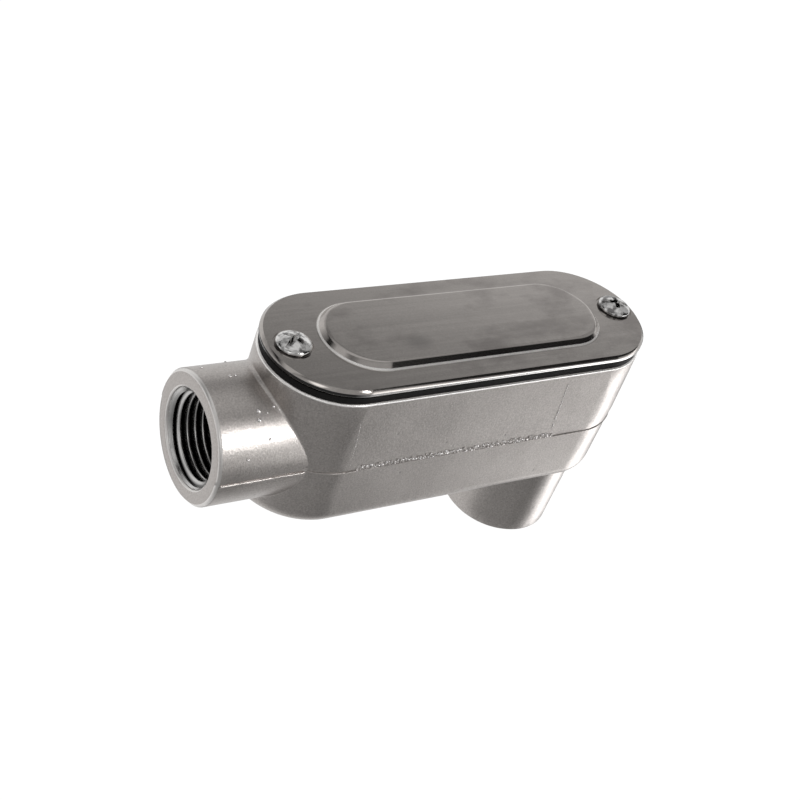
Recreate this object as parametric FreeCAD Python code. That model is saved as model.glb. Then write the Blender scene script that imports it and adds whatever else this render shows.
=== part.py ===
import FreeCAD
import Part

import math
import os
from FreeCAD import Vector

# Conduit body of the LB pattern, half-inch trade size: a die-cast aluminium box with one
# threaded hub on its end and one on its back, closed by a pressed cover on a rubber gasket.
# Millimetres. +Z points out through the cover, and the end hub's mouth faces -X. The origin is
# on the back hub's axis where its thread begins, at the foot of the mouth's chamfer.

# ---- Body casting --------------------------------------------------------------------------
body_length = 99.1            # over the two half-round ends, at the parting plane
body_width = 33.8             # at the parting plane
body_height = 35.4            # underside to rim
wall = 2.6                    # at the rim
floor_thickness = 2.8
wall_draft_deg = 0.9          # walls lean in, up and down, away from the parting plane
cavity_draft_deg = 1.0        # the cavity opens towards the rim
die_mismatch = 0.2            # the lower die half left the casting this much smaller all round
underside_edge_radius = 4.0
cavity_floor_chamfer = 1.8
rim_edge_chamfer = 0.5

# ---- Hubs ----------------------------------------------------------------------------------
end_hub_radius = 14.65
end_hub_axis_height = 16.35   # above the body's underside; the parting plane runs through it
end_hub_reach = 12.5          # from the body's rounded end out to the mouth
back_hub_radius = 13.8        # at its mouth
back_hub_length = 20.4        # from the body's underside down to the mouth
back_hub_draft_deg = 0.8
back_hub_setback = 17.4       # from the body's far end to the hub's axis
hub_mouth_chamfer = 0.8       # outer edge of each mouth
hub_root_radius = 0.8         # fillet where each hub grows out of the body
hub_root_land = 0.1           # flat wall left between that fillet and the rim's edge, at least
thread_root_radius = 10.6     # the thread's crests stand inwards from this wall
thread_depth = 12.0
mouth_chamfer = 0.6
throat_radius = 7.8           # bushing that stops the conduit and guards the wires
throat_length = 2.4
throat_chamfer = 0.5          # breaks the bushing's outer edge
well_radius = 10.4            # passage behind the bushing
well_chamfer = 1.2            # where the back hub's well opens into the floor

# ---- Cover, gasket and screws --------------------------------------------------------------
cover_thickness = 2.0
cover_setback = 0.05          # inside the rim's outline
cover_edge_chamfer = 0.65     # above and below
panel_length = 72.7           # raised panel, measured at its base
panel_width = 22.5
panel_height = 1.4
panel_slope_deg = 48.0
panel_base_radius = 0.6
panel_top_radius = 0.9
gasket_thickness = 1.5
gasket_setback = 0.45         # inside the rim's outline
gasket_land = 2.9             # width of the ring
gasket_eyelet_radius = 4.4
screw_inset = {"hub_end": 6.0, "far_end": 5.5}   # from each end of the rim to the screw's axis
screw_seat_radius = 4.4
screw_seat_depth = 0.3
screw_radius = 2.08           # number 8 machine screw
screw_length = 9.5            # under the head
screw_tip_chamfer = 0.5
head_radius = 3.95
head_height = 2.3
head_edge_chamfer = 0.9
slot_width = 1.1
slot_depth = 1.0
cross_width = 0.95
cross_depth = 1.7
cross_reach = 2.3             # from the axis to the end of each arm, at the top
cross_foot = 0.8              # the same at the bottom of the recess
slot_angles_deg = {"hub_end": 35.0, "far_end": -20.0}
boss_radius = 3.8
boss_height = 8.0             # below the rim

# ---- Fits ----------------------------------------------------------------------------------
tapped_hole_clearance = 0.08  # screw thread in the boss, radially
gasket_hole_clearance = 0.3
cover_hole_clearance = 0.35

# ---- Levels and stations worked out from the sizes above -----------------------------------
back_hub_mouth_z = -mouth_chamfer
underside_z = back_hub_mouth_z + back_hub_length
floor_z = underside_z + floor_thickness
rim_z = underside_z + body_height
gasket_top_z = rim_z + gasket_thickness
cover_top_z = gasket_top_z + cover_thickness
parting_z = underside_z + end_hub_axis_height
far_end_x = back_hub_setback
near_end_x = far_end_x - body_length
end_hub_mouth_x = near_end_x - end_hub_reach
half_width = body_width / 2
near_centre_x = near_end_x + half_width        # centres of the two half-round ends
far_centre_x = far_end_x - half_width
wall_lean = math.tan(math.radians(wall_draft_deg))
rim_half_width = half_width - (rim_z - parting_z) * wall_lean
rim_ends_x = {"hub_end": near_centre_x - rim_half_width, "far_end": far_centre_x + rim_half_width}
screw_x = {"hub_end": rim_ends_x["hub_end"] + screw_inset["hub_end"],
           "far_end": rim_ends_x["far_end"] - screw_inset["far_end"]}
seat_z = cover_top_z - screw_seat_depth
spare = 1.0                                    # how far a cutter runs past what it cuts

X_AXIS = Vector(1, 0, 0)
Z_AXIS = Vector(0, 0, 1)


# ---- Drawing helpers -----------------------------------------------------------------------
def rounded_face(corners, point_at):
    """Face inside a closed outline. Each corner is (a, b) or (a, b, radius), where a radius
    rounds that corner with a tangent arc, and point_at(a, b) places it in space."""
    count = len(corners)
    flat = [Vector(corner[0], corner[1], 0) for corner in corners]
    radii = [corner[2] if len(corner) == 3 else 0 for corner in corners]
    starts, ends, middles = [], [], []
    for i in range(count):
        to_last = (flat[i - 1] - flat[i]).normalize()
        to_next = (flat[(i + 1) % count] - flat[i]).normalize()
        half_angle = to_last.getAngle(to_next) / 2
        cut_back = radii[i] / math.tan(half_angle)
        starts.append(flat[i] + to_last * cut_back)
        ends.append(flat[i] + to_next * cut_back)
        bisector = (to_last + to_next).normalize()
        middles.append(flat[i] + bisector * (radii[i] / math.sin(half_angle) - radii[i]))

    def placed(vector):
        return point_at(vector.x, vector.y)

    edges = []
    for i in range(count):
        if radii[i]:
            arc = Part.Arc(placed(starts[i]), placed(middles[i]), placed(ends[i]))
            edges.append(arc.toShape())
        following = starts[(i + 1) % count]
        if (following - ends[i]).Length > 1e-7:
            edges.append(Part.makeLine(placed(ends[i]), placed(following)))
    return Part.Face(Part.Wire(edges))


def racetrack(section, near_x, far_x):
    """Solid with straight sides and half-round ends. The section is half of its cross-section,
    as corners (distance from the centre plane, z), and the ends turn about near_x and far_x."""
    pieces = []
    for x, turn in ((near_x, 180), (far_x, -180)):
        face = rounded_face(section, lambda y, z: Vector(x, y, z))
        pieces.append(face.revolve(Vector(x, 0, 0), Z_AXIS, turn))
    for side in (1, -1):
        face = rounded_face(section, lambda y, z: Vector(near_x, side * y, z))
        pieces.append(face.extrude(X_AXIS * (far_x - near_x)))
    return fused(pieces)


def turned(section, x=0.0):
    """Solid of revolution about the vertical axis at x, from corners (radius, z)."""
    face = rounded_face(section, lambda radius, z: Vector(x + radius, 0, z))
    return face.revolve(Vector(x, 0, 0), Z_AXIS, 360)


def turned_on_end_hub(section, start_deg=0.0, turn_deg=360.0):
    """Solid of revolution about the end hub's axis, from corners (radius, depth inwards from
    the mouth). The turn starts at start_deg from +Y, towards +Z."""
    axis_point = Vector(end_hub_mouth_x, 0, parting_z)
    face = rounded_face(section, lambda radius, depth: axis_point + Vector(depth, radius, 0))
    face.rotate(axis_point, X_AXIS, start_deg)
    return face.revolve(axis_point, X_AXIS, turn_deg)


def fused(shapes):
    """One clean solid from several that touch or overlap."""
    return shapes[0].fuse(shapes[1:]).removeSplitter()


def as_solid(shape):
    """The single solid that a finished piece has to be."""
    solids = shape.Solids
    if len(solids) != 1:
        raise ValueError("a piece came out as %d solids" % len(solids))
    return solids[0]


def cavity_half_width_at(z):
    """Half width of the wire way at height z."""
    return rim_half_width - wall - (rim_z - z) * math.tan(math.radians(cavity_draft_deg))


# ---- Body casting --------------------------------------------------------------------------
def end_hub_half(radius, start_deg):
    """Half of the end hub's outside, on one side of the parting plane."""
    length = near_centre_x - end_hub_mouth_x
    return turned_on_end_hub([(0, 0), (radius - hub_mouth_chamfer, 0),
                              (radius, hub_mouth_chamfer), (radius, length), (0, length)],
                             start_deg, 180)


def back_hub_outside():
    """Drafted round boss from its mouth up into the body's floor."""
    length = floor_z - back_hub_mouth_z
    radius_at_floor = back_hub_radius + length * math.tan(math.radians(back_hub_draft_deg))
    return turned([(0, back_hub_mouth_z),
                   (back_hub_radius - hub_mouth_chamfer, back_hub_mouth_z),
                   (back_hub_radius, back_hub_mouth_z + hub_mouth_chamfer),
                   (radius_at_floor, floor_z), (0, floor_z)])


def is_hub_side(face):
    """True for the round side of either hub."""
    surface = face.Surface
    if isinstance(surface, Part.Cylinder):
        return face.BoundBox.XMin < near_end_x
    return isinstance(surface, Part.Cone) and face.BoundBox.ZMin < underside_z / 2


def root_edges(shape):
    """Curved edges that a hub's side shares with the box."""
    edges = []
    for face in shape.Faces:
        if is_hub_side(face):
            edges += [edge for edge in face.Edges if not isinstance(edge.Curve, Part.Line)
                      and edge.BoundBox.XMax > near_end_x
                      and edge.BoundBox.ZMax > underside_z / 2]
    return edges


def die_half(shapes, root_radius):
    """What one half of the die made, with a fillet at the root of each hub."""
    half = fused(shapes)
    return half.makeFillet(root_radius, root_edges(half))


def upper_half():
    """Box and end hub above the parting plane."""
    box = racetrack([(0, parting_z), (half_width, parting_z),
                     (rim_half_width, rim_z - rim_edge_chamfer),
                     (rim_half_width - rim_edge_chamfer, rim_z), (0, rim_z)],
                    near_centre_x, far_centre_x)
    wall_above_hub = rim_z - rim_edge_chamfer - (parting_z + end_hub_radius)
    root_radius = min(hub_root_radius, wall_above_hub - hub_root_land)
    return die_half([box, end_hub_half(end_hub_radius, 0)], root_radius)


def lower_half():
    """Box, end hub and back hub below the parting plane, a little smaller all round."""
    half = half_width - die_mismatch
    half_at_underside = half - end_hub_axis_height * wall_lean
    box = racetrack([(0, underside_z), (half_at_underside, underside_z, underside_edge_radius),
                     (half, parting_z), (0, parting_z)], near_centre_x, far_centre_x)
    return die_half([box, end_hub_half(end_hub_radius - die_mismatch, 180),
                     back_hub_outside()], hub_root_radius)


def passage_section(well_end):
    """Half section of a hub's passage from outside the mouth inwards, as (radius, depth): a
    chamfered, plain wall at the thread's root, the bushing that stops the conduit, its flare,
    and the well behind it. well_end lists the last corners, from the well's wall to its axis."""
    flare_start = thread_depth + throat_length
    flare_end = flare_start + well_radius - throat_radius      # a 45 degree flare
    mouth_reach = thread_root_radius + mouth_chamfer + spare
    return [(0, -spare), (mouth_reach, -spare), (thread_root_radius, mouth_chamfer),
            (thread_root_radius, thread_depth),
            (throat_radius + throat_chamfer, thread_depth),
            (throat_radius, thread_depth + throat_chamfer),
            (throat_radius, flare_start), (well_radius, flare_end)] + well_end


def end_hub_passage():
    """Cutter for the end hub, which runs straight into the cavity."""
    depth = near_centre_x - end_hub_mouth_x
    return turned_on_end_hub(passage_section([(well_radius, depth), (0, depth)]))


def back_hub_passage():
    """Cutter for the back hub, chamfered where it opens into the floor."""
    depth = floor_z - back_hub_mouth_z
    edge_reach = well_radius + well_chamfer + spare
    cutter = turned(passage_section([(well_radius, depth - well_chamfer),
                                     (edge_reach, depth + spare), (0, depth + spare)]))
    return cutter.translated(Z_AXIS * back_hub_mouth_z)


def cavity():
    """Wire way inside the walls, open at the rim."""
    top_z = rim_z + spare
    chamfer_z = floor_z + cavity_floor_chamfer
    half_at_floor = cavity_half_width_at(chamfer_z) - cavity_floor_chamfer
    return racetrack([(0, floor_z), (half_at_floor, floor_z),
                      (cavity_half_width_at(chamfer_z), chamfer_z),
                      (cavity_half_width_at(top_z), top_z), (0, top_z)],
                     near_centre_x, far_centre_x)


def screw_boss(which):
    """Lug under the rim that the cover screw is driven into, joined to the end wall by a web as
    wide as the lug. It is left standing in the cavity."""
    foot_z = rim_z - boss_height
    x, end_x = screw_x[which], rim_ends_x[which]
    lug = Part.makeCylinder(boss_radius, boss_height, Vector(x, 0, foot_z))
    web = Part.makeBox(abs(end_x - x), 2 * boss_radius, boss_height,
                       Vector(min(x, end_x), -boss_radius, foot_z))
    return fused([lug, web])


def tapped_hole(x):
    """Hole through a boss, at the size of the screw's thread."""
    radius = screw_radius + tapped_hole_clearance
    return Part.makeCylinder(radius, boss_height + 2 * spare,
                             Vector(x, 0, rim_z - boss_height - spare))


def body_casting():
    outside = fused([upper_half(), lower_half()])
    core = cavity().cut([screw_boss(which) for which in screw_x])
    cutters = [core, end_hub_passage(), back_hub_passage()]
    cutters += [tapped_hole(x) for x in screw_x.values()]
    return as_solid(outside.cut(cutters).removeSplitter())


# ---- Cover ---------------------------------------------------------------------------------
def panel_section(half_base, base_z, base_radius, top_radius):
    """Half section of the raised panel, on a skirt one spare deep that is buried in the plate."""
    slope = math.radians(panel_slope_deg)
    half_top = half_base - panel_height / math.tan(slope)
    top_z = base_z + panel_height
    skirt = half_base + spare
    return [(0, base_z - spare), (skirt, base_z - spare), (skirt, base_z),
            (half_base, base_z, base_radius), (half_top, top_z, top_radius), (0, top_z)]


def cover():
    """Plate pressed from sheet: the panel stands up on top and leaves its hollow below."""
    half = rim_half_width - cover_setback
    plate = racetrack([(0, gasket_top_z), (half - cover_edge_chamfer, gasket_top_z),
                       (half, gasket_top_z + cover_edge_chamfer),
                       (half, cover_top_z - cover_edge_chamfer),
                       (half - cover_edge_chamfer, cover_top_z), (0, cover_top_z)],
                      near_centre_x, far_centre_x)
    middle_x = (near_end_x + far_end_x) / 2
    centre_offset = (panel_length - panel_width) / 2
    ends = (middle_x - centre_offset, middle_x + centre_offset)
    panel = racetrack(panel_section(panel_width / 2, cover_top_z, panel_base_radius,
                                    panel_top_radius), *ends)
    inset = cover_thickness * math.tan(math.radians(panel_slope_deg) / 2)
    half_hollow = panel_width / 2 - inset
    slope_run = panel_height / math.tan(math.radians(panel_slope_deg))
    hollow = racetrack([(0, gasket_top_z - spare), (half_hollow, gasket_top_z - spare),
                        (half_hollow, gasket_top_z),
                        (half_hollow - slope_run, gasket_top_z + panel_height),
                        (0, gasket_top_z + panel_height)], *ends)
    cutters = [hollow]
    for x in screw_x.values():
        cutters.append(Part.makeCylinder(screw_radius + cover_hole_clearance,
                                         cover_thickness + 2 * spare,
                                         Vector(x, 0, gasket_top_z - spare)))
        cutters.append(Part.makeCylinder(screw_seat_radius, screw_seat_depth + spare,
                                         Vector(x, 0, seat_z)))
    return as_solid(fused([plate, panel]).cut(cutters).removeSplitter())


# ---- Gasket --------------------------------------------------------------------------------
def gasket_block(half):
    """Flat racetrack as thick as the gasket."""
    return racetrack([(0, rim_z), (half, rim_z), (half, gasket_top_z), (0, gasket_top_z)],
                     near_centre_x, far_centre_x)


def gasket():
    """Flat ring with an eyelet for each screw."""
    outer_half = rim_half_width - gasket_setback
    outline = gasket_block(outer_half)
    ring = outline.cut(gasket_block(outer_half - gasket_land))
    pieces = [ring]
    holes = []
    for x in screw_x.values():
        start = Vector(x, 0, rim_z)
        pieces.append(Part.makeCylinder(gasket_eyelet_radius, gasket_thickness,
                                        start).common(outline))
        holes.append(Part.makeCylinder(screw_radius + gasket_hole_clearance,
                                       gasket_thickness + 2 * spare, start - Z_AXIS * spare))
    return as_solid(fused(pieces).cut(holes).removeSplitter())


# ---- Screws --------------------------------------------------------------------------------
def centred_bar(width, length, x, z, height):
    """Upright bar centred on the screw's axis."""
    return Part.makeBox(length, width, height, Vector(x - length / 2, -width / 2, z))


def cover_screw(which):
    """Pan-head machine screw, its head cut with a slot and a cross recess."""
    x = screw_x[which]
    tip_z = seat_z - screw_length
    top_z = seat_z + head_height
    blank = turned([(0, tip_z), (screw_radius - screw_tip_chamfer, tip_z),
                    (screw_radius, tip_z + screw_tip_chamfer), (screw_radius, seat_z),
                    (head_radius, seat_z), (head_radius, top_z - head_edge_chamfer),
                    (head_radius - head_edge_chamfer, top_z), (0, top_z)], x)
    slot = centred_bar(slot_width, 2 * head_radius + 2 * spare, x, top_z - slot_depth,
                       slot_depth + spare)
    cross_z = top_z - cross_depth
    arms = [centred_bar(cross_width, 2 * cross_reach, x, cross_z, cross_depth),
            centred_bar(2 * cross_reach, cross_width, x, cross_z, cross_depth)]
    taper = turned([(0, cross_z), (cross_foot, cross_z), (cross_reach, top_z), (0, top_z)], x)
    cross = fused(arms).common(taper)
    screw = blank.cut([slot, cross])
    screw.rotate(Vector(x, 0, 0), Z_AXIS, slot_angles_deg[which])
    return as_solid(screw)


# ---- Output --------------------------------------------------------------------------------
def main():
    parts = {
        "body_casting": body_casting(),
        "cover": cover(),
        "gasket": gasket(),
        "cover_screw_hub_end": cover_screw("hub_end"),
        "cover_screw_far_end": cover_screw("far_end"),
    }
    os.makedirs("parts", exist_ok=True)
    for name, shape in parts.items():
        shape.exportStep("parts/%s.step" % name)
        print("%-22s valid %s  volume %8.1f mm3" % (name, shape.isValid(), shape.Volume))


main()
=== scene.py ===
import math

import bmesh
import bpy
from mathutils import Matrix, Vector


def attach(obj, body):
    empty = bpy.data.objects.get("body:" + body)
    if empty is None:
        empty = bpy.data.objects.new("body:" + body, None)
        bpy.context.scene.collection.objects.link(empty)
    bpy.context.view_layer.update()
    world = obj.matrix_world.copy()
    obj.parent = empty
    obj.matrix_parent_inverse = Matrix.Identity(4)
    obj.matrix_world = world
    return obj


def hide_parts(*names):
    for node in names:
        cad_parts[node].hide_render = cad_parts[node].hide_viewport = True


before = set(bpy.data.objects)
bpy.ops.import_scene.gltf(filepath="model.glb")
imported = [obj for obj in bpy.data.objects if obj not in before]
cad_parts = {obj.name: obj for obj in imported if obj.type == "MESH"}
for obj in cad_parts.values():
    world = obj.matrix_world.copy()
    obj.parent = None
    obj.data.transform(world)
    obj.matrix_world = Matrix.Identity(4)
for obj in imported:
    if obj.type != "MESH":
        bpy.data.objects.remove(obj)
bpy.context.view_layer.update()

MM = 0.001
FLOAT, VECTOR = "NodeSocketFloat", "NodeSocketVector"

# ---- Sizes of the part, in millimetres, as the frame has them --------------------------------
BODY_HALF = 16.9               # half width at the parting plane
RIM_HALF = 16.6                # half width at the rim
NEAR_CENTRE_X, FAR_CENTRE_X = -64.8, 0.5       # centres of the two half-round ends
RIM_Z = 55.2                   # top of the casting
RIM_EDGE = 0.5                 # height of the rim's broken edge
END_HUB_RADIUS = 14.65
HUB_MOUTH_X = -94.2            # end hub's mouth
HUB_AXIS_Z = 36.15             # end hub's axis, in the parting plane
BACK_MOUTH_Z = -0.6            # back hub's mouth
FLANGE_Z = 58.7                # top of the cover's flange, where the panel rises
SEAT_Z = 58.4                  # where the screws' heads sit

# ---- Threads in the hubs ---------------------------------------------------------------------
THREAD_ROOT, THREAD_CREST = 10.62, 9.2         # radii
THREAD_BACK = 10.8             # radius of the sleeve's hidden side, inside the casting
THREAD_LEAD_IN = 11.2          # radius at the mouth of the cone that the tap starts in
THREAD_PITCH = 1.814
THREAD_START, THREAD_END = 0.55, 11.9          # depths from the mouth
OIL_FROM, OIL_TO = 0.42, 0.95  # radius outside the crest where the painted shade starts and is darkest

# ---- Marks of the dies -----------------------------------------------------------------------
BEAD_THINNEST, BEAD = 0.11, 0.18               # radius of the bead along the parting plane
HUB_BEAD_THINNEST, HUB_BEAD = 0.18, 0.34       # the same on the end hub
TRIMMED_BEAD_THINNEST, TRIMMED_BEAD = 0.05, 0.14                  # and where it was trimmed
HUB_BEAD_FROM, HUB_BEAD_TO = 1.0, 9.2          # inside the mouth, and before the near centre
BEAD_STEP, BEAD_UNEVENNESS = 0.5, 350.0        # length of a piece, and lumps to a metre
EASED = 0.24                   # how far the walls are set back for the bead
EASED_LEVEL, EASED_REACH = 0.02, 0.5           # how near the parting edge an eased corner lies
TRIM_FROM_X, TRIM_TO_X = -62.5, -8.5           # stretch of each side that was trimmed
NIBS_TO_X, NIBS_ABOVE = -9.5, 0.75             # where the nibs end, and their height over the plane
# Nibs that the trimming left: kind, spacing and seed of the random draws.
TORN_NIBS, DULL_NIBS = ("torn", 0.55, 3), ("dull", 0.30, 7)
SLIDE_THINNEST, SLIDE_STEP, SLIDE_UNEVENNESS = -0.02, 0.2, 1200.0
# Lines that the side slides left: name, foot and head as (x, z), and thickest radius.
SLIDE_LINES = (("near", (-64.3, 38.0), (-65.6, 50.5), 0.07),
               ("far", (-10.1, 38.6), (-11.5, 52.5), 0.20))
# Drops of metal on the end hub, from heat checks in the die: place along it, angle above the
# front side in degrees, and radius.
HUB_NODULES = [(-84.5, 59, 0.55), (-84.8, 52, 0.50), (-80.9, 61, 0.34), (-79.0, 65, 0.30),
               (-87.2, 96, 0.30), (-85.9, 96, 0.26), (-82.9, 36, 0.26), (-87.9, 22, 0.34),
               (-82.6, 57, 0.24), (-79.9, 58, 0.22), (-90.9, 118, 0.30), (-83.8, 131, 0.26)]

# ---- Cover and its screws --------------------------------------------------------------------
COVER_EDGE_REACH = 15.7        # the cover's side faces lie outside this distance
SIDE_FACE = 0.2                # height of a side face's normal, at most
SMUDGE = (-48, -5, 60)         # middle of the greasy print on the panel
SMUDGE_SPREAD = (220, 330, 0)  # one over its half length and half width, per metre
# Stretch of the cover's edge, near the end hub, that is darkened with painted shade.
SOOT_FROM_X, SOOT_TO_X, SOOT_ABOVE_Z = -64.0, -69.0, 56.0
SCREWS = {"hub_end": (-75.4, 35.0), "far_end": (11.6, -20.0)}     # x, and the slot's turn
# Half section of a pan head, as (radius, height above the seat).
PAN_HEAD = [(0.0, -0.02), (3.82, -0.02), (3.94, 0.10), (3.95, 0.50), (3.92, 0.86), (3.80, 1.08),
            (3.45, 1.37), (3.00, 1.61), (2.40, 1.86), (1.70, 2.07), (1.0, 2.22), (0.4, 2.29),
            (0.0, 2.30)]
# Blocks that cut the recess: half sizes at the top, half sizes at the foot, foot and top levels.
RECESS_BLOCKS = (((4.6, 0.52), (4.6, 0.46), 1.35, 3.2),          # slot
                 ((2.75, 0.66), (0.9, 0.42), 0.45, 3.0),         # cross, one way
                 ((0.66, 2.75), (0.42, 0.9), 0.46, 3.01))        # cross, the other way
RECESS_EDGE = 0.12             # how far the head's edges are broken
BROKEN_BEND, SHARP_BEND = 35, 40               # degrees: bends that are broken and kept sharp
SHANK_ROOT, SHANK_CREST, SHANK_CORE = 1.62, 2.08, 0.05            # radii
SHANK_PITCH, SHANK_LENGTH = 0.794, 9.5
NO_LEAD_IN = -1.0              # radius of a lead-in cone that cuts nothing, in metres

# ---- Camera ----------------------------------------------------------------------------------
CAMERA_PLACE = (-212.312, -181.841, 225.753)
CAMERA_AZIMUTH = -133.0715     # from the part towards the camera, in degrees
CAMERA_ELEVATION = 36.9857
CAMERA_ROLL = 20.9885
SENSOR_WIDTH = 36.0
FOCAL_LENGTH = 62.442

# ---- Floor -----------------------------------------------------------------------------------
FLOOR_BELOW = 0.05             # how far the floor lies under the back hub's mouth
FLOOR_HALF = 3.0               # metres
FLOOR_GREY = (0.10, 0.10, 0.10, 1)

# ---- Light -----------------------------------------------------------------------------------
# Light that comes from round the part's long axis. Each entry is an angle, in degrees, up from
# the -Y side over the cover, and the level there. The second list is for light that comes from
# the far end.
RING_OF_LIGHT = [(-180, 0.85), (-134, 0.85), (-95, 0.85), (-78, 0.52), (-60, 0.36), (-46, 0.325),
                 (-20, 0.28), (-6, 0.34), (6, 0.50), (50, 0.50), (60, 0.45), (68, 0.36),
                 (84, 0.66), (104, 0.64), (120, 0.47), (130, 0.25), (137, 0.25), (141, 0.56),
                 (160, 0.85), (180, 0.85)]
RING_AT_FAR_END = [(-180, 0.85), (-134, 0.85), (-90, 0.85), (-50, 0.70), (-26, 0.68),
                   (-18, 2.2), (2, 2.2), (9, 0.8), (20, 0.45), (28, 0.01), (58, 0.01),
                   (70, 0.34), (84, 0.42), (120, 0.38), (133, 0.34), (137, 0.63), (140, 0.90),
                   (144, 0.95), (160, 0.85), (180, 0.85)]
# The second ring takes over as the direction's x grows, from the first value to the second
# within the front's angles and to the third elsewhere.
FAR_FROM, FAR_IN_FRONT, FAR_ELSEWHERE = 0.47, 0.52, 0.74
FRONT_ANGLE = 42.5             # middle of the front's angles, in degrees
FRONT_WITHIN, ELSEWHERE_BEYOND = 55, 65        # degrees away from the front's angle
# Soft windows and dark cards: aim, inner and outer angle from it in degrees, level added.
WINDOWS = [((0.79, -0.22, -0.57), 8, 17, 2.4), ((0.68, 0.50, -0.56), 12, 21, -0.74),
           ((-0.62, -0.60, 0.50), 6, 14, 1.3), ((-0.70, 0.63, 0.34), 14, 30, -0.36),
           ((-0.63, -0.38, 0.68), 4, 16, -0.16), ((0.42, -0.63, -0.66), 5, 24, -0.10)]
DARKEST = 0.02                 # level that no direction falls below


# ---- Building node trees ---------------------------------------------------------------------
class Tree:
    """Adds nodes to a node tree and joins them."""

    def __init__(self, tree):
        self.tree = tree

    def add(self, kind, inputs=None, **settings):
        """A new node. An input is given by name or number, as a value or as a socket to link."""
        node = self.tree.nodes.new(kind)
        for name, value in settings.items():
            setattr(node, name, value)
        for key, value in (inputs or {}).items():
            if isinstance(value, bpy.types.NodeSocket):
                self.link(value, node.inputs[key])
            else:
                node.inputs[key].default_value = value
        return node

    def link(self, socket, target):
        """Joins an output to an input."""
        self.tree.links.new(socket, target)

    def math(self, operation, *values):
        """Output of a Math node."""
        return self.add("ShaderNodeMath", dict(enumerate(values)), operation=operation).outputs[0]

    def mixture(self, first, share_of_first, second, share_of_second):
        """Sum of two values, each times its share."""
        return self.math("ADD", self.math("MULTIPLY", first, share_of_first),
                         self.math("MULTIPLY", second, share_of_second))

    def vector(self, operation, *values):
        """Output of a Vector Math node."""
        node = self.add("ShaderNodeVectorMath", dict(enumerate(values)), operation=operation)
        return node.outputs["Value" if operation in ("LENGTH", "DOT_PRODUCT") else "Vector"]

    def blend(self, share, first, second):
        """Colour between two colours."""
        node = self.add("ShaderNodeMix", {0: share, 6: first, 7: second}, data_type="RGBA")
        return node.outputs[2]

    def between(self, value, from_low, from_high, to_low=0.0, to_high=1.0):
        """Value mapped from one range to another, and held inside it."""
        node = self.add("ShaderNodeMapRange", {0: value, 1: from_low, 2: from_high,
                                               3: to_low, 4: to_high})
        return node.outputs[0]

    def band(self, value, base, start, full, fading, end):
        """1 where value is between full and fading, and 0 outside start and end, all of them in
        millimetres past the base."""
        return self.math("MULTIPLY",
                         self.between(value, (base + start) * MM, (base + full) * MM),
                         self.between(value, (base + end) * MM, (base + fading) * MM))

    def place(self, stretch=None):
        """Object coordinates in metres, scaled along each axis if a stretch is given."""
        place = self.add("ShaderNodeTexCoord").outputs["Object"]
        if stretch is None:
            return place
        return self.add("ShaderNodeMapping", {"Vector": place, "Scale": stretch}).outputs[0]

    def noise(self, place, per_metre, detail=2.0, roughness=0.5):
        """Soft noise with the given number of clouds to a metre."""
        return self.add("ShaderNodeTexNoise", {"Vector": place, "Scale": per_metre,
                                               "Detail": detail,
                                               "Roughness": roughness}).outputs[0]


def shader_group(name, inputs, outputs, build):
    """A shader node group with named inputs and outputs, filled in by build(tree, inlet)."""
    group = bpy.data.node_groups.new(name, "ShaderNodeTree")
    for label, kind, value in inputs:
        socket = group.interface.new_socket(label, in_out="INPUT", socket_type=kind)
        socket.default_value = value
    for label in outputs:
        group.interface.new_socket(label, in_out="OUTPUT", socket_type=FLOAT)
    tree = Tree(group)
    inlet = tree.add("NodeGroupInput")
    results = build(tree, inlet.outputs)
    tree.add("NodeGroupOutput", results)
    return group


# ---- Effects shared by the materials ---------------------------------------------------------
def build_cast_skin(tree, inlet):
    """Skin that a die leaves: a soft unevenness, fine grain and scattered small pits."""
    place = tree.place()
    waves = tree.noise(place, 190.0)
    grain = tree.noise(place, 2300.0, detail=3.0, roughness=0.65)
    cells = tree.add("ShaderNodeTexVoronoi", {"Vector": place, "Scale": inlet["Pits per Metre"]})
    lot = tree.add("ShaderNodeSeparateColor", {0: cells.outputs["Color"]}).outputs[0]
    chosen = tree.math("GREATER_THAN", lot, inlet["Bare Share"])
    hollow = tree.between(cells.outputs["Distance"], 0.05, 0.2, 1.0, 0.0)
    pits = tree.math("MULTIPLY", hollow, chosen)
    height = tree.mixture(waves, inlet["Waves"], grain, inlet["Grain"])
    height = tree.math("SUBTRACT", height, tree.math("MULTIPLY", pits, inlet["Pit Depth"]))
    flecks = tree.noise(place, 2600.0, detail=2.0, roughness=0.7)
    return {"Height": height, "Pits": pits,
            "Cloud": tree.noise(place, 60.0, detail=3.0, roughness=0.6),
            "Flecks": tree.between(flecks, 0.3, 0.7)}


def build_streaks(tree, inlet):
    """Faint streaks along the part, as a press or a belt leaves."""
    lines = tree.noise(tree.place((14, 700, 700)), 1.0, detail=3.0, roughness=0.65)
    broad = tree.noise(tree.place((6, 130, 130)), 1.0)
    return {"Streaks": tree.mixture(lines, inlet["Fine"], broad, inlet["Broad"])}


def build_root_grime(tree, inlet):
    """Share of painted shade, from none at a thread's crest to all at its root."""
    from_axis = tree.vector("SUBTRACT", tree.place(), inlet["Axis Point"])
    radius = tree.vector("LENGTH", tree.vector("MULTIPLY", from_axis, inlet["Across"]))
    depth = tree.vector("DOT_PRODUCT", from_axis, inlet["Inward"])
    near_root = tree.between(radius, inlet["Clean Radius"], inlet["Grimy Radius"])
    return {"Grime": tree.math("MULTIPLY", near_root,
                               tree.between(depth, 0.9 * MM, 1.6 * MM))}


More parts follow.
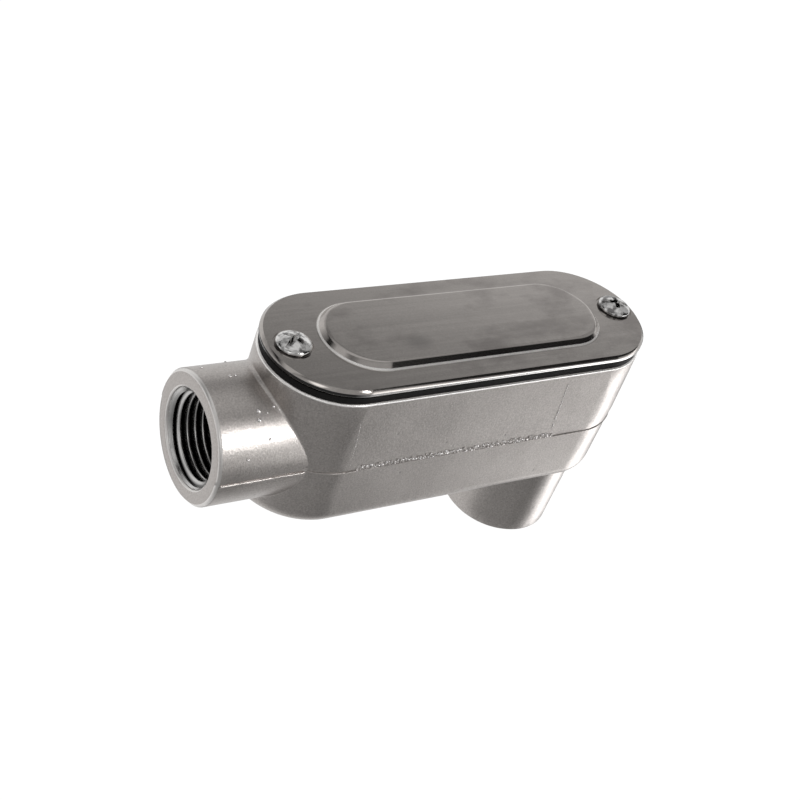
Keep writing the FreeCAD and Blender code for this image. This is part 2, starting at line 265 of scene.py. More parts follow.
cast_skin = shader_group(
    "cast skin",
    [("Waves", FLOAT, 1.0), ("Grain", FLOAT, 0.8), ("Pit Depth", FLOAT, 0.6),
     ("Pits per Metre", FLOAT, 420.0), ("Bare Share", FLOAT, 0.9)],
    ["Height", "Pits", "Cloud", "Flecks"], build_cast_skin)
streaks = shader_group("lengthwise streaks", [("Fine", FLOAT, 0.5), ("Broad", FLOAT, 0.5)],
                       ["Streaks"], build_streaks)
root_grime = shader_group(
    "grime in a thread's roots",
    [("Axis Point", VECTOR, (0, 0, 0)), ("Across", VECTOR, (1, 1, 0)),
     ("Inward", VECTOR, (0, 0, 1)), ("Clean Radius", FLOAT, 0.0), ("Grimy Radius", FLOAT, 0.0)],
    ["Grime"], build_root_grime)


# ---- Materials -------------------------------------------------------------------------------
CAST_DARK, CAST_PALE = (0.34, 0.315, 0.30, 1), (0.615, 0.58, 0.555, 1)
CAST_PIT, CAST_WORN = (0.16, 0.15, 0.15, 1), (0.97, 0.95, 0.93, 1)
THREAD_DARK, THREAD_PALE = (0.55, 0.54, 0.53, 1), (0.70, 0.69, 0.68, 1)
# The last thread colour is painted shade for the thread's roots.
THREAD_OIL = (0.012, 0.011, 0.011, 1)
SHEET_DARK, SHEET_PALE = (0.395, 0.37, 0.35, 1), (0.54, 0.505, 0.48, 1)
SHEET_STAIN, SHEET_SMUDGE = (0.28, 0.255, 0.245, 1), (0.20, 0.19, 0.185, 1)
SHEET_BURNISHED = (0.93, 0.91, 0.89, 1)
EDGE_DARK, EDGE_PALE = (0.72, 0.70, 0.69, 1), (0.92, 0.90, 0.89, 1)
# Painted shade for the cover's edge near the end hub.
EDGE_SOOT = (0.02, 0.02, 0.02, 1)
RUBBER_DARK, RUBBER_PALE = (0.004, 0.004, 0.004, 1), (0.014, 0.013, 0.013, 1)
PLATE_DARK, PLATE_PALE = (0.62, 0.61, 0.60, 1), (0.92, 0.91, 0.90, 1)
PLATE_DULL = (0.10, 0.095, 0.095, 1)


def material(name, build):
    """A material whose nodes are made by build(tree, shader)."""
    made = bpy.data.materials.new(name)
    made.use_nodes = True
    tree = Tree(made.node_tree)
    build(tree, made.node_tree.nodes["Principled BSDF"])
    return made


def finish_surface(tree, shader, colour, roughness, relief, strength, depth, metallic=1.0):
    """Gives the shader its colour and roughness, and relief with a depth in millimetres."""
    tree.link(colour, shader.inputs["Base Color"])
    tree.link(roughness, shader.inputs["Roughness"])
    shader.inputs["Metallic"].default_value = metallic
    bump = tree.add("ShaderNodeBump", {"Strength": strength, "Distance": depth * MM,
                                       "Height": relief})
    tree.link(bump.outputs[0], shader.inputs["Normal"])


def build_cast_aluminium(tree, shader):
    """Die-cast skin, with painted highlights at the rim's edge and at the end hub's mouth."""
    skin = tree.add("ShaderNodeGroup", node_tree=cast_skin).outputs
    shade = tree.blend(tree.mixture(skin["Cloud"], 0.35, skin["Flecks"], 0.65),
                       CAST_DARK, CAST_PALE)
    shade = tree.blend(tree.math("MULTIPLY", skin["Pits"], 0.4), shade, CAST_PIT)
    along, _, height = tree.add("ShaderNodeSeparateXYZ", {0: tree.place()}).outputs
    # Painted highlight along the rim's broken edge, and round the end hub's mouth.
    rim_edge = tree.between(height, (RIM_Z - RIM_EDGE - 0.05) * MM,
                            (RIM_Z - RIM_EDGE + 0.05) * MM)
    mouth = tree.math("MULTIPLY", tree.band(along, HUB_MOUTH_X, 0.02, 0.10, 0.65, 0.80), 0.6)
    shade = tree.blend(tree.math("MAXIMUM", rim_edge, mouth), shade, CAST_WORN)
    finish_surface(tree, shader, shade, tree.between(skin["Cloud"], 0.3, 0.7, 0.29, 0.37),
                   skin["Height"], strength=0.35, depth=0.12)


def cut_thread_material(name, mouth, inward):
    """Thread cut by a tap: bright at the crests, with painted shade darkening the roots."""
    across = [1 - abs(part) for part in inward]

    def build(tree, shader):
        cloud = tree.noise(tree.place(), 800.0)
        grime = tree.add("ShaderNodeGroup",
                         {"Axis Point": Vector(mouth) * MM, "Inward": inward, "Across": across,
                          "Clean Radius": (THREAD_CREST + OIL_FROM) * MM,
                          "Grimy Radius": (THREAD_CREST + OIL_TO) * MM}, node_tree=root_grime)
        # Painted shade in the thread's roots, nearly black.
        shade = tree.blend(grime.outputs[0], tree.blend(cloud, THREAD_DARK, THREAD_PALE),
                           THREAD_OIL)
        finish_surface(tree, shader, shade, tree.between(cloud, 0.3, 0.7, 0.18, 0.28), cloud,
                       strength=0.15, depth=0.04)

    return material(name, build)


def build_pressed_aluminium(tree, shader):
    """Pressed sheet with lengthwise streaks, stains and a greasy print, and a painted highlight in
    the bend at the panel's foot."""
    place = tree.place()
    run = tree.add("ShaderNodeGroup", node_tree=streaks).outputs[0]
    flecks = tree.noise(place, 2200.0, detail=2.0, roughness=0.7)
    mixed = tree.mixture(run, 0.7, flecks, 0.3)
    shade = tree.blend(tree.between(mixed, 0.3, 0.7), SHEET_DARK, SHEET_PALE)
    clouds = tree.noise(tree.place((60, 95, 95)), 1.0, detail=4.0, roughness=0.6)
    stained = tree.math("MULTIPLY", tree.between(clouds, 0.50, 0.68), 0.62)
    shade = tree.blend(stained, shade, SHEET_STAIN)
    from_middle = tree.vector("MULTIPLY", tree.vector("SUBTRACT", place, Vector(SMUDGE) * MM),
                              SMUDGE_SPREAD)
    greasy = tree.between(tree.vector("LENGTH", from_middle), 1.0, 0.3, 0.0, 0.40)
    shade = tree.blend(greasy, shade, SHEET_SMUDGE)
    height = tree.add("ShaderNodeSeparateXYZ", {0: place}).outputs["Z"]
    # Painted highlight in the bend at the panel's foot, which is also rougher there.
    foot = tree.band(height, FLANGE_Z, 0.02, 0.10, 0.28, 0.42)
    shade = tree.blend(foot, shade, SHEET_BURNISHED)
    rough = tree.math("ADD", tree.between(mixed, 0.3, 0.7, 0.09, 0.16),
                      tree.math("MULTIPLY", foot, 0.40))
    waves = tree.mixture(mixed, 1.0, tree.noise(place, 120.0), 2.0)
    finish_surface(tree, shader, shade, rough, waves, strength=0.12, depth=0.05)


def build_sheared_edge(tree, shader):
    """Edge that the shear leaves: burnished bright, with fine marks across it, and darkened with
    painted shade round the cover's end at the hub."""
    marks = tree.noise(tree.place((2600, 2600, 150)), 1.0)
    shade = tree.blend(marks, EDGE_DARK, EDGE_PALE)
    along, _, height = tree.add("ShaderNodeSeparateXYZ", {0: tree.place()}).outputs
    # Painted shade on the edge round the cover's end at the hub.
    soot = tree.math("MULTIPLY",
                     tree.between(along, SOOT_FROM_X * MM, SOOT_TO_X * MM, 0.0, 0.96),
                     tree.math("GREATER_THAN", height, SOOT_ABOVE_Z * MM))
    shade = tree.blend(soot, shade, EDGE_SOOT)
    finish_surface(tree, shader, shade, tree.between(marks, 0.3, 0.7, 0.12, 0.2), marks,
                   strength=0.15, depth=0.03)


def build_gasket_rubber(tree, shader):
    """Matt black rubber."""
    grain = tree.noise(tree.place(), 900.0, detail=3.0, roughness=0.6)
    shader.inputs["Specular IOR Level"].default_value = 0.15
    finish_surface(tree, shader, tree.blend(grain, RUBBER_DARK, RUBBER_PALE),
                   tree.between(grain, 0.3, 0.7, 0.6, 0.75), grain, strength=0.2, depth=0.05,
                   metallic=0.0)


def build_plated_steel(tree, shader):
    """Thin bright plating over a rolled head: uneven, with dull spots, and painted shade under it.
    """
    place = tree.place()
    cloud = tree.noise(place, 900.0, detail=3.0, roughness=0.6)
    dull = tree.between(tree.noise(place, 560.0), 0.46, 0.60)
    height = tree.add("ShaderNodeSeparateXYZ", {0: place}).outputs["Z"]
    # Painted shade under the head, near the seat; the dull spots share its colour.
    under = tree.between(height, (SEAT_Z + 0.75) * MM, (SEAT_Z + 0.35) * MM)
    dark = tree.math("MAXIMUM", tree.math("MULTIPLY", dull, 0.85),
                     tree.math("MULTIPLY", under, 0.9))
    shade = tree.blend(dark, tree.blend(cloud, PLATE_DARK, PLATE_PALE), PLATE_DULL)
    finish_surface(tree, shader, shade, tree.between(dull, 0.0, 1.0, 0.09, 0.24), cloud,
                   strength=0.7, depth=0.14)


cast_aluminium = material("cast aluminium", build_cast_aluminium)
pressed_aluminium = material("pressed aluminium", build_pressed_aluminium)
gasket_rubber = material("gasket rubber", build_gasket_rubber)
plated_steel = material("plated steel", build_plated_steel)
end_hub_thread = cut_thread_material("cut thread in the end hub",
                                     (HUB_MOUTH_X, 0, HUB_AXIS_Z), (1, 0, 0))
back_hub_thread = cut_thread_material("cut thread in the back hub", (0, 0, BACK_MOUTH_Z),
                                      (0, 0, 1))
sheared_edge = material("sheared aluminium edge", build_sheared_edge)


# ---- Making pieces ---------------------------------------------------------------------------
def add_object(name, mesh):
    """A new object in the scene, at the origin."""
    piece = bpy.data.objects.new(name, mesh)
    bpy.context.scene.collection.objects.link(piece)
    return piece


def bake_modifiers(piece):
    """Turns what the modifiers make into the piece's plain mesh."""
    bpy.context.view_layer.update()
    baked = bpy.data.meshes.new_from_object(
        piece.evaluated_get(bpy.context.evaluated_depsgraph_get()))
    piece.modifiers.clear()
    piece.data = baked
    return baked


def settle(piece, slot, *replaced):
    """Rides on the part and stands for any node that it replaces. Its slot is not used."""
    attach(piece, "root")
    if replaced:
        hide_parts(*replaced)


def from_box_axis(x, y):
    """Vector to a point from the nearest point of the line between the box's end centres."""
    return Vector((x - min(max(x, NEAR_CENTRE_X), FAR_CENTRE_X), y, 0))


SAME_PLACE = 0.0005            # millimetres, within which corners are one
CURVE_LIMIT = math.radians(52.0)               # a sharper bend is an edge
CRISP_LIMIT = math.radians(30.0)               # the same beside a crisp top
FLAT_TOP = 0.99                # height of a top face's normal, at least


def smooth_copy(node, name, finish, slot, crisp_top=False):
    """A node's own shape with its faces joined and its curves shaded smoothly. With a crisp
    top, a chamfer meets the flat above it in a sharp edge."""
    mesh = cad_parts[node].data.copy()
    mesh.name = name
    work = bmesh.new()
    work.from_mesh(mesh)
    bmesh.ops.remove_doubles(work, verts=work.verts, dist=SAME_PLACE * MM)
    for face in work.faces:
        face.smooth = True
    for edge in work.edges:
        bend = edge.calc_face_angle(0.0)
        edge.smooth = len(edge.link_faces) == 2 and bend < CURVE_LIMIT
        if crisp_top and bend > CRISP_LIMIT:
            if max(face.normal.z for face in edge.link_faces) > FLAT_TOP:
                edge.smooth = False
    work.to_mesh(mesh)
    work.free()
    if "custom_normal" in mesh.attributes:
        mesh.attributes.remove(mesh.attributes["custom_normal"])
    mesh.materials.clear()
    mesh.materials.append(finish)
    piece = add_object(name, mesh)
    weighted = piece.modifiers.new("even shading", "WEIGHTED_NORMAL")
    weighted.keep_sharp = True
    weighted.weight = 50 if crisp_top else 100
    bake_modifiers(piece)
    settle(piece, slot, node)
    return piece


def geometry_tree(name, inputs, build):
    """A Geometry Nodes tree with named inputs, filled in by build(tree, inlet). What build
    returns is realised and given its finish. Returns the tree and its inputs' identifiers."""
    group = bpy.data.node_groups.new(name, "GeometryNodeTree")
    group.interface.new_socket("Geometry", in_out="INPUT", socket_type="NodeSocketGeometry")
    group.interface.new_socket("Geometry", in_out="OUTPUT", socket_type="NodeSocketGeometry")
    names = {}
    for label, kind in inputs + [("Finish", "NodeSocketMaterial")]:
        names[label] = group.interface.new_socket(label, in_out="INPUT",
                                                  socket_type=kind).identifier
    tree = Tree(group)
    inlet = tree.add("NodeGroupInput").outputs
    shape = build(tree, inlet)
    smooth = tree.add("GeometryNodeSetShadeSmooth", {"Geometry": shape})
    real = tree.add("GeometryNodeRealizeInstances", {"Geometry": smooth.outputs[0]})
    done = tree.add("GeometryNodeSetMaterial", {"Geometry": real.outputs[0],
                                                "Material": inlet["Finish"]})
    tree.add("NodeGroupOutput", {"Geometry": done.outputs[0]})
    return group, names


def grown(name, maker, values, slot, path=(), place=Matrix.Identity(4)):
    """Piece that a Geometry Nodes tree makes, with its place in its mesh. The path, if it
    needs one, is a list of points in millimetres."""
    group, names = maker
    mesh = bpy.data.meshes.new(name)
    mesh.from_pydata([Vector(point) * MM for point in path],
                     [(i, i + 1) for i in range(len(path) - 1)], [])
    piece = add_object(name, mesh)
    modifier = piece.modifiers.new(name, "NODES")
    modifier.node_group = group
    for label, value in values.items():
        modifier[names[label]] = value
    baked = bake_modifiers(piece)
    baked.transform(place)
    work = bmesh.new()
    work.from_mesh(baked)
    bmesh.ops.recalc_face_normals(work, faces=work.faces)
    work.to_mesh(baked)
    work.free()
    settle(piece, slot)
    return piece


# ---- Threads ---------------------------------------------------------------------------------
THREAD_AROUND, THREAD_ALONG = 97, 132          # corners of the sheet that a thread is bent from
ROOT_FLAT, CREST_FLAT = 0.04, 0.9              # where a flank starts and ends, from the root
SEAM = 0.002                   # millimetres, within which the sheet's edges are joined


def build_thread(tree, inlet):
    """A screw thread about +Z, cut into or raised on a sleeve. The sheet's rows follow the
    helix, and its last rows close it behind the thread."""
    sheet = tree.add("GeometryNodeMeshGrid",
                     {"Size X": 1.0, "Size Y": 1.0, "Vertices X": THREAD_AROUND,
                      "Vertices Y": THREAD_ALONG})
    here = tree.add("GeometryNodeInputPosition").outputs[0]
    spot = tree.add("ShaderNodeSeparateXYZ", {0: here}).outputs
    turn = tree.math("ADD", spot[0], 0.5)
    row = tree.math("MULTIPLY", tree.math("ADD", spot[1], 0.5), THREAD_ALONG - 1.0)

    # Depth of each point along the helix, held between the thread's two ends.
    length = tree.math("SUBTRACT", inlet["End"], inlet["Start"])
    behind = tree.math("SUBTRACT", inlet["Start"], inlet["Pitch"])
    run = tree.math("MULTIPLY", tree.between(row, 1.0, THREAD_ALONG - 3.0),
                    tree.math("ADD", length, inlet["Pitch"]))
    depth = tree.math("ADD", tree.math("ADD", behind, run),
                      tree.math("MULTIPLY", turn, inlet["Pitch"]))
    depth = tree.math("MINIMUM", tree.math("MAXIMUM", depth, inlet["Start"]), inlet["End"])

    # Radius: from the root up a flank to the crest and down again once in each pitch.
    phase = tree.math("FRACT", tree.math("DIVIDE", run, inlet["Pitch"]))
    wave = tree.math("MULTIPLY", tree.math("ABSOLUTE", tree.math("SUBTRACT", phase, 0.5)), 2.0)
    rise = tree.math("SUBTRACT", inlet["Crest Radius"], inlet["Root Radius"])
    radius = tree.math("ADD", inlet["Root Radius"],
                       tree.math("MULTIPLY", tree.between(wave, ROOT_FLAT, CREST_FLAT), rise))
    lead_in = tree.math("MINIMUM", tree.math("SUBTRACT", inlet["Lead-in Radius"], depth),
                        inlet["Root Radius"])
    radius = tree.math("MAXIMUM", radius, lead_in)

    # The first row and the last two are the back of the sleeve.
    backing = tree.math("MAXIMUM", tree.math("LESS_THAN", row, 0.5),
                        tree.math("GREATER_THAN", row, THREAD_ALONG - 2.5))
    radius = tree.mixture(radius, tree.math("SUBTRACT", 1.0, backing),
                          inlet["Back Radius"], backing)
    last = tree.math("GREATER_THAN", row, THREAD_ALONG - 1.5)
    depth = tree.mixture(depth, tree.math("SUBTRACT", 1.0, last), inlet["Start"], last)

    angle = tree.math("MULTIPLY", turn, 2 * math.pi)
    place = tree.add("ShaderNodeCombineXYZ",
                     {0: tree.math("MULTIPLY", radius, tree.math("COSINE", angle)),
                      1: tree.math("MULTIPLY", radius, tree.math("SINE", angle)), 2: depth})
    moved = tree.add("GeometryNodeSetPosition", {"Geometry": sheet.outputs[0],
                                                 "Position": place.outputs[0]})
    joined = tree.add("GeometryNodeMergeByDistance", {"Geometry": moved.outputs[0],
                                                      "Distance": SEAM * MM})
    return joined.outputs[0]


thread_tree = geometry_tree(
    "screw thread", [(label, FLOAT) for label in
                     ("Root Radius", "Crest Radius", "Back Radius", "Lead-in Radius", "Pitch",
                      "Start", "End")], build_thread)


def add_hub_threads():
    """The thread in each hub, on a thin sleeve inside the casting's wall."""
    into_end = Matrix.Translation(Vector((HUB_MOUTH_X, 0, HUB_AXIS_Z)) * MM) @ \
        Matrix.Rotation(math.radians(90), 4, "Y")
    into_back = Matrix.Translation(Vector((0, 0, BACK_MOUTH_Z)) * MM)
    for name, place, finish in (("thread_end_hub", into_end, end_hub_thread),
                                ("thread_back_hub", into_back, back_hub_thread)):
        grown(name, thread_tree,
              {"Root Radius": THREAD_ROOT * MM, "Crest Radius": THREAD_CREST * MM,
               "Back Radius": THREAD_BACK * MM, "Lead-in Radius": THREAD_LEAD_IN * MM,
               "Pitch": THREAD_PITCH * MM, "Start": THREAD_START * MM,
               "End": THREAD_END * MM, "Finish": finish}, "cast_aluminium", place=place)


# ---- What the dies left on the casting -------------------------------------------------------
def build_bead(tree, inlet):
    """An uneven bead along a path, as metal leaves that is squeezed out between two dies."""
    path = tree.add("GeometryNodeMeshToCurve", {"Mesh": inlet["Geometry"]})
    even = tree.add("GeometryNodeResampleCurve", {"Curve": path.outputs[0],
                                                  "Length": inlet["Step"]}, mode="LENGTH")
    here = tree.add("GeometryNodeInputPosition").outputs[0]
    rough = tree.noise(here, inlet["Unevenness per Metre"])
    thick = tree.between(rough, 0.32, 0.68, inlet["Thinnest"], inlet["Thickest"])
    section = tree.add("GeometryNodeCurvePrimitiveCircle", {"Resolution": 10, "Radius": 1.0})
    bead = tree.add("GeometryNodeCurveToMesh", {"Curve": even.outputs[0],
                                                "Profile Curve": section.outputs[0],
                                                "Scale": thick, "Fill Caps": True})
    return bead.outputs[0]


bead_tree = geometry_tree(
    "flash bead", [(label, FLOAT) for label in
                   ("Step", "Thinnest", "Thickest", "Unevenness per Metre")], build_bead)

# Limits of a nib's shift from the path, its half sizes and its lean, in millimetres and radians.
NIB_SHIFT = (0.4, 0.02, 0.6)
NIB_SMALLEST, NIB_LARGEST = (0.12, 0.08, 0.12), (0.45, 0.22, 0.34)
NIB_LEAN = (0.2, 0.4, 0.2)


def build_nibs(tree, inlet):
    """Small nibs scattered along a path, left where the flash was trimmed off."""
    def random(low, high, draw):
        """A random vector for each nib."""
        node = tree.add("FunctionNodeRandomValue", data_type="FLOAT_VECTOR")
        node.inputs[0].default_value = low
        node.inputs[1].default_value = high
        tree.link(tree.math("ADD", inlet["Seed"], draw), node.inputs["Seed"])
        return node.outputs[0]

    path = tree.add("GeometryNodeMeshToCurve", {"Mesh": inlet["Geometry"]})
    points = tree.add("GeometryNodeCurveToPoints", {"Curve": path.outputs[0],
                                                    "Length": inlet["Spacing"]}, mode="LENGTH")
    reach = [part * MM for part in NIB_SHIFT]
    shift = random([-part for part in reach], reach, 1)
    moved = tree.add("GeometryNodeSetPosition", {"Geometry": points.outputs[0],
                                                 "Offset": shift})
    grain = tree.add("GeometryNodeMeshIcoSphere", {"Radius": 1.0, "Subdivisions": 2})
    size = random([part * MM for part in NIB_SMALLEST], [part * MM for part in NIB_LARGEST], 2)
    lean = random([-part for part in NIB_LEAN], NIB_LEAN, 3)
    nibs = tree.add("GeometryNodeInstanceOnPoints", {"Points": moved.outputs[0],
                                                     "Instance": grain.outputs[0],
                                                     "Rotation": lean, "Scale": size})
    return nibs.outputs[0]


nib_tree = geometry_tree("trimmed nibs", [("Spacing", FLOAT), ("Seed", "NodeSocketInt")],
                         build_nibs)


def arc_points(centre_x, start_deg, end_deg, inset, steps=40):
    """Points on one of the box's round ends at the parting plane, set in from its outline."""
    points = []
    for i in range(steps + 1):
        angle = math.radians(start_deg + (end_deg - start_deg) * i / steps)
        points.append((centre_x + (BODY_HALF - inset) * math.cos(angle),
                       (BODY_HALF - inset) * math.sin(angle), HUB_AXIS_Z))
    return points


def add_bead(name, path, thinnest, thickest, step=BEAD_STEP, unevenness=BEAD_UNEVENNESS,
             finish=cast_aluminium):
    """Bead along a path, in millimetres, on the casting."""
    grown(name, bead_tree,
          {"Step": step * MM, "Thinnest": thinnest * MM, "Thickest": thickest * MM,
           "Unevenness per Metre": unevenness, "Finish": finish}, "cast_aluminium", path)


def add_parting_marks():
    """Bead along the parting plane, the trimmed stretch on each side, and the lines where the
    side slides met the dies."""
    hub_side_deg = math.degrees(math.asin(END_HUB_RADIUS / BODY_HALF))
    for side, word in ((-1, "front"), (1, "back")):
        crest, wall = side * (BODY_HALF - BEAD), side * (BODY_HALF - EASED)
        near = arc_points(NEAR_CENTRE_X, side * (180 - hub_side_deg), side * 90, BEAD)
        add_bead("parting_bead_near_" + word, near + [(TRIM_FROM_X, crest, HUB_AXIS_Z)],
                 BEAD_THINNEST, BEAD)
        far = arc_points(FAR_CENTRE_X, side * 90, 0, BEAD)
        add_bead("parting_bead_far_" + word, [(TRIM_TO_X, crest, HUB_AXIS_Z)] + far,
                 BEAD_THINNEST, BEAD)
        hub = [(HUB_MOUTH_X + HUB_BEAD_FROM, side * END_HUB_RADIUS, HUB_AXIS_Z),
               (NEAR_CENTRE_X - HUB_BEAD_TO, side * END_HUB_RADIUS, HUB_AXIS_Z)]
        add_bead("parting_bead_hub_" + word, hub, HUB_BEAD_THINNEST, HUB_BEAD)
        add_bead("parting_bead_" + word,
                 [(TRIM_FROM_X, wall, HUB_AXIS_Z), (TRIM_TO_X, wall, HUB_AXIS_Z)],
                 TRIMMED_BEAD_THINNEST, TRIMMED_BEAD)
        trimmed = [(TRIM_FROM_X, wall, HUB_AXIS_Z + NIBS_ABOVE),
                   (NIBS_TO_X, wall, HUB_AXIS_Z + NIBS_ABOVE)]
        for (kind, spacing, seed), finish in ((TORN_NIBS, sheared_edge),
                                              (DULL_NIBS, cast_aluminium)):
            grown("trimmed_flash_%s_%s" % (kind, word), nib_tree,
                  {"Spacing": spacing * MM, "Seed": seed + side, "Finish": finish},
                  "cast_aluminium", trimmed)
        for name, foot, head, thickest in SLIDE_LINES:
            line = [(foot[0], wall, foot[1]), (head[0], side * (RIM_HALF + 0.01), head[1])]
            add_bead("slide_line_%s_%s" % (name, word), line, SLIDE_THINNEST, thickest,
                     SLIDE_STEP, SLIDE_UNEVENNESS, sheared_edge)


def add_nodules():
    """Drops of metal on the end hub, as one piece."""
    work = bmesh.new()
    for x, angle_deg, radius in HUB_NODULES:
        angle = math.radians(angle_deg)
        spot = Vector((x, -END_HUB_RADIUS * math.cos(angle),
                       HUB_AXIS_Z + END_HUB_RADIUS * math.sin(angle))) * MM
        bmesh.ops.create_icosphere(work, subdivisions=3, radius=radius * MM,
                                   matrix=Matrix.Translation(spot))
    for face in work.faces:
        face.smooth = True
    mesh = bpy.data.meshes.new("hub_nodules")
    work.to_mesh(mesh)
    work.free()
    mesh.materials.append(sheared_edge)
    settle(add_object("hub_nodules", mesh), "cast_aluminium")


def ease_parting_edge(piece):
    """Sets the box's walls back a little at the parting plane, to make room for the bead."""
    for vertex in piece.data.vertices:
        x, y, z = vertex.co / MM
        out = from_box_axis(x, y)
        on_outline = abs(out.length - BODY_HALF) < EASED_REACH
        if on_outline and abs(z - HUB_AXIS_Z) < EASED_LEVEL:
            vertex.co -= out.normalized() * EASED * MM


# ---- Cover and its screws --------------------------------------------------------------------
def burnish_edge(piece):
    """Gives the cover's outer side faces the finish that the shear leaves."""
    piece.data.materials.append(sheared_edge)
    for face in piece.data.polygons:
        x, y, _ = face.center / MM
        outside = from_box_axis(x, y).length > COVER_EDGE_REACH
        if outside and abs(face.normal.z) < SIDE_FACE:
            face.material_index = 1


def lathed(work, profile, segments=64):
    """Closed solid of revolution about +Z, added to a bmesh."""
    turns = [2 * math.pi * i / segments for i in range(segments)]
    rings = []
    for radius, z in profile:
        if radius == 0:
            rings.append([work.verts.new((0, 0, z * MM))])
            continue
        rings.append([work.verts.new((radius * MM * math.cos(turn),
                                      radius * MM * math.sin(turn), z * MM))
                      for turn in turns])
    for lower, upper in zip(rings, rings[1:]):
        for i in range(segments):
            following = (i + 1) % segments
            corners = [lower[i % len(lower)], lower[following % len(lower)],
                       upper[following % len(upper)], upper[i % len(upper)]]
            work.faces.new(list(dict.fromkeys(corners)))
    bmesh.ops.recalc_face_normals(work, faces=work.faces)


def tapered_block(work, half_sizes_at_top, half_sizes_at_foot, foot_z, top_z):
    """Closed block that narrows towards its foot, added to a bmesh."""
    corners = []
    for z, (half_x, half_y) in ((foot_z, half_sizes_at_foot), (top_z, half_sizes_at_top)):
        corners += [work.verts.new((sx * half_x * MM, sy * half_y * MM, z * MM))
                    for sx, sy in ((-1, -1), (1, -1), (1, 1), (-1, 1))]
    for face in ((3, 2, 1, 0), (4, 5, 6, 7), (0, 1, 5, 4), (1, 2, 6, 5), (2, 3, 7, 6),
                 (3, 0, 4, 7)):
        work.faces.new([corners[i] for i in face])


def mesh_from(name, build):
    """A mesh that build(work) makes in a bmesh."""
    work = bmesh.new()
    build(work)
    mesh = bpy.data.meshes.new(name)
    work.to_mesh(mesh)
    work.free()
    return mesh


def build_recess(work):
    """A slot and a tapered cross, as one set of closed blocks."""
    for block in RECESS_BLOCKS:
        tapered_block(work, *block)


def add_screw(which):
    """Pan-head screw with a slot and a cross recess, on a threaded shank."""
    x, turn_deg = SCREWS[which]
    name = "screw_head_" + which
    piece = add_object(name, mesh_from(name, lambda work: lathed(work, PAN_HEAD)))
    cutter = add_object("cutter", mesh_from("recess cutter", build_recess))
    cut = piece.modifiers.new("recess", "BOOLEAN")
    cut.operation = "DIFFERENCE"
    cut.object = cutter
    cut.solver = "EXACT"
    cut.use_self = True
    bevel = piece.modifiers.new("broken edges", "BEVEL")
    bevel.width = RECESS_EDGE * MM
    bevel.segments = 2
    bevel.limit_method = "ANGLE"
    bevel.angle_limit = math.radians(BROKEN_BEND)
    baked = bake_modifiers(piece)
    bpy.data.objects.remove(cutter)
    baked.transform(Matrix.Translation(Vector((x, 0, SEAT_Z)) * MM) @
                    Matrix.Rotation(math.radians(turn_deg), 4, "Z"))
    for polygon in baked.polygons:
        polygon.use_smooth = True
    baked.set_sharp_from_angle(angle=math.radians(SHARP_BEND))
    baked.materials.clear()
    baked.materials.append(plated_steel)
    settle(piece, "plated_steel", "cover_screw_" + which)
    tip = Matrix.Translation(Vector((x, 0, SEAT_Z - SHANK_LENGTH)) * MM)
    grown("screw_thread_" + which, thread_tree,
          {"Root Radius": SHANK_ROOT * MM, "Crest Radius": SHANK_CREST * MM,
           "Back Radius": SHANK_CORE * MM, "Lead-in Radius": NO_LEAD_IN,
           "Pitch": SHANK_PITCH * MM, "Start": 0.0, "End": SHANK_LENGTH * MM,
           "Finish": plated_steel}, "plated_steel", place=tip)


casting = smooth_copy("body_casting", "casting", cast_aluminium, "cast_aluminium")
cover = smooth_copy("cover", "cover_plate", pressed_aluminium, "pressed_aluminium", True)
burnish_edge(cover)
smooth_copy("gasket", "gasket_ring", gasket_rubber, "gasket_rubber")
ease_parting_edge(casting)
add_hub_threads()
add_parting_marks()
add_nodules()
for screw in SCREWS:
    add_screw(screw)


# ---- Studio ----------------------------------------------------------------------------------
def camera_matrix():
    """The camera's place and turn, from the direction towards it and its roll."""
    azimuth = math.radians(CAMERA_AZIMUTH)
    elevation = math.radians(CAMERA_ELEVATION)
    back = Vector((math.cos(elevation) * math.cos(azimuth),
                   math.cos(elevation) * math.sin(azimuth), math.sin(elevation)))
    right = (-back).cross(Vector((0, 0, 1))).normalized()
    up = right.cross(-back)
    roll = math.radians(CAMERA_ROLL)
    rolled_right = right * math.cos(roll) + up * math.sin(roll)
    rolled_up = up * math.cos(roll) - right * math.sin(roll)
    turn = Matrix((rolled_right, rolled_up, back)).transposed().to_4x4()
    return Matrix.Translation(Vector(CAMERA_PLACE) * MM) @ turn


def add_camera():
    """The camera that the scene is rendered from."""
    camera = bpy.data.objects.new("camera", bpy.data.cameras.new("camera"))
    bpy.context.scene.collection.objects.link(camera)
    camera.matrix_world = camera_matrix()
    camera.data.sensor_width = SENSOR_WIDTH
    camera.data.lens = FOCAL_LENGTH
    camera.data.clip_start = 10 * MM
    bpy.context.scene.camera = camera


def build_floor_finish(tree, shader):
    """White to the eye, over a dark grey that takes a faint shadow."""
    tree.tree.nodes.remove(shader)
    camera_ray = tree.add("ShaderNodeLightPath").outputs["Is Camera Ray"]
    grey = tree.add("ShaderNodeBsdfDiffuse", {"Color": FLOOR_GREY})
    white = tree.add("ShaderNodeEmission", {"Strength": camera_ray})
    both = tree.add("ShaderNodeAddShader", {0: grey.outputs[0], 1: white.outputs[0]})
    tree.link(both.outputs[0], tree.tree.nodes["Material Output"].inputs[0])


def add_floor():
    """Floor just under the back hub's mouth."""
    z = (BACK_MOUTH_Z - FLOOR_BELOW) * MM
    mesh = bpy.data.meshes.new("floor")
    mesh.from_pydata([(sx * FLOOR_HALF, sy * FLOOR_HALF, z)
                      for sx, sy in ((-1, -1), (1, -1), (1, 1), (-1, 1))], [], [(0, 1, 2, 3)])
    mesh.materials.append(material("floor", build_floor_finish))
    floor = add_object("floor", mesh)
    for rays in ("visible_glossy", "visible_diffuse", "visible_transmission", "visible_shadow"):
        setattr(floor, rays, False)


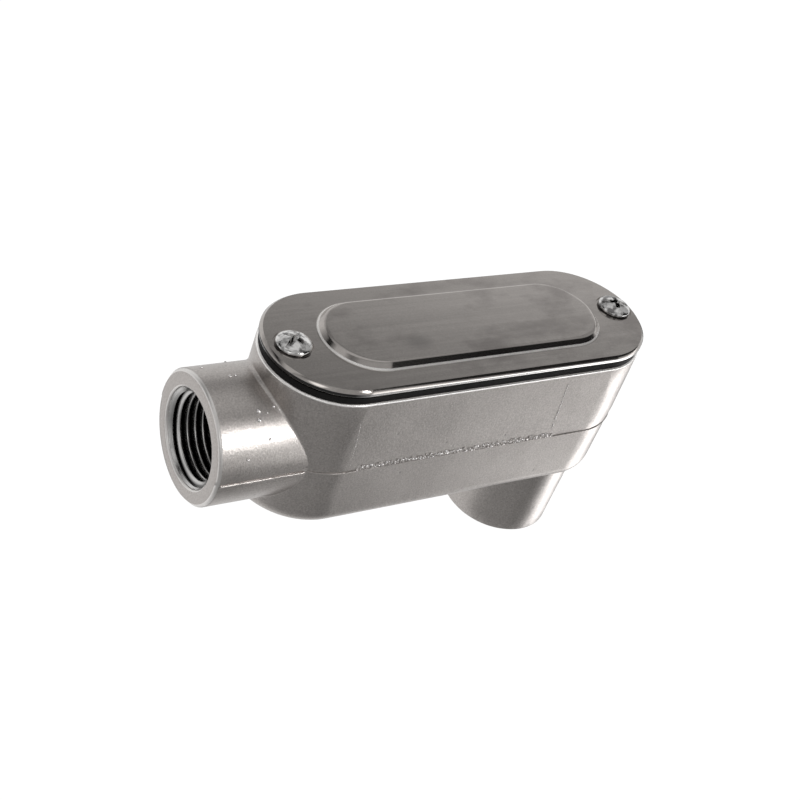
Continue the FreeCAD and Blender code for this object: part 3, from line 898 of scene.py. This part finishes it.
def ring_level(tree, share, ring):
    """Level of a ring of light at a share of the full turn."""
    highest = max(level for _, level in ring)
    ramp = tree.add("ShaderNodeValToRGB", {0: share})
    ramp.color_ramp.interpolation = "EASE"
    stops = ramp.color_ramp.elements
    for index, (degrees, level) in enumerate(ring):
        place = (degrees + 180) / 360
        stop = stops[index] if index < 2 else stops.new(place)
        stop.position = place
        stop.color = (level / highest,) * 3 + (1,)
    return tree.math("MULTIPLY", ramp.outputs[0], highest)


def add_world():
    """Studio that the metal reflects. To the eye it is plain white."""
    world = bpy.data.worlds.new("studio")
    world.use_nodes = True
    tree = Tree(world.node_tree)
    direction = tree.add("ShaderNodeTexCoord").outputs["Generated"]
    x, y, z = tree.add("ShaderNodeSeparateXYZ", {0: direction}).outputs
    angle = tree.math("ARCTAN2", z, tree.math("MULTIPLY", y, -1.0))
    share = tree.between(angle, -math.pi, math.pi)
    away = tree.math("ABSOLUTE", tree.math("SUBTRACT", angle, math.radians(FRONT_ANGLE)))
    far_to = tree.between(away, math.radians(FRONT_WITHIN), math.radians(ELSEWHERE_BEYOND),
                          FAR_IN_FRONT, FAR_ELSEWHERE)
    far_share = tree.between(x, FAR_FROM, far_to)
    level = tree.mixture(ring_level(tree, share, RING_OF_LIGHT),
                         tree.math("SUBTRACT", 1.0, far_share),
                         ring_level(tree, share, RING_AT_FAR_END), far_share)
    for aim, inner, outer, added in WINDOWS:
        towards = tree.vector("DOT_PRODUCT", direction, Vector(aim).normalized())
        glow = tree.between(towards, math.cos(math.radians(outer)),
                            math.cos(math.radians(inner)), 0.0, added)
        level = tree.math("ADD", level, glow)
    level = tree.math("MAXIMUM", level, DARKEST)
    camera_ray = tree.add("ShaderNodeLightPath").outputs["Is Camera Ray"]
    back = world.node_tree.nodes["Background"]
    back.inputs["Color"].default_value = (1, 1, 1, 1)
    tree.link(tree.between(camera_ray, 0.0, 1.0, level, 1.0), back.inputs["Strength"])
    bpy.context.scene.world = world


def add_softbox(name, place, aim, size, power, spread_deg):
    """Rectangular lamp that the eye doesn't see, with its place and size in millimetres."""
    lamp = bpy.data.lights.new(name, "AREA")
    lamp.shape = "RECTANGLE"
    lamp.size, lamp.size_y = (side * MM for side in size)
    lamp.energy = power
    lamp.spread = math.radians(spread_deg)
    light = bpy.data.objects.new(name, lamp)
    bpy.context.scene.collection.objects.link(light)
    light.location = Vector(place) * MM
    light.rotation_euler = (Vector(aim) - Vector(place)).to_track_quat("-Z", "Y").to_euler()
    light.visible_camera = False


add_camera()
add_floor()
add_world()
add_softbox("strip softbox", place=(-42.4, -97.5, 99.3), aim=(-91.9, -15.1, 46), size=(36, 56),
            power=0.0023, spread_deg=24)
bpy.context.scene.view_settings.view_transform = "Standard"
